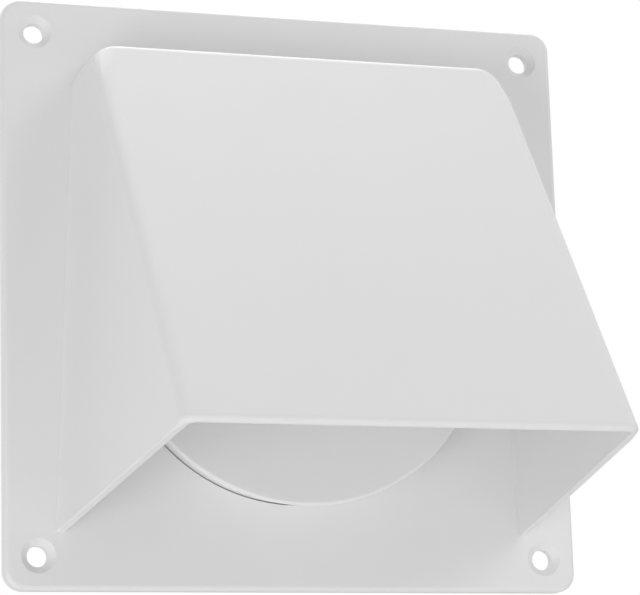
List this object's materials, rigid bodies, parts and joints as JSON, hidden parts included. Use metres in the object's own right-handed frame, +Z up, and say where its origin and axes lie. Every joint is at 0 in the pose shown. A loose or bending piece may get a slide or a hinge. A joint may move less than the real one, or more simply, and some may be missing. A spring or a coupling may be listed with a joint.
{
  "type": "gravity flap vent",
  "caption": "White plastic wall vent with a sloping hood open at the bottom, a flap hung on a pin inside it that gravity closes, and a round duct spigot behind.",
  "frame": {"origin": "middle of the plate's back face, on the wall", "axes": "-Y points out of the wall towards the viewer, +Z up, +X right seen from outside"},
  "size_m": [0.15, 0.141, 0.152],
  "materials": {
    "cowl_plastic": "satin, faintly grained as moulded",
    "spigot_plastic": "satin",
    "flap_plastic": "satin",
    "pin_steel": "bright drawn"
  },
  "bodies": {
    "vent": {"cowl": "cowl_plastic", "spigot": "spigot_plastic", "hinge_pin": "pin_steel"},
    "flap": {"flap": "flap_plastic"}
  },
  "joints": [
    {"name": "flap_hinge", "type": "hinge", "parent": "vent", "child": "flap", "pos_m": [0, -0.0098, 0.045], "axis": [-1, 0, 0], "range_deg": [0, 40]}
  ]
}
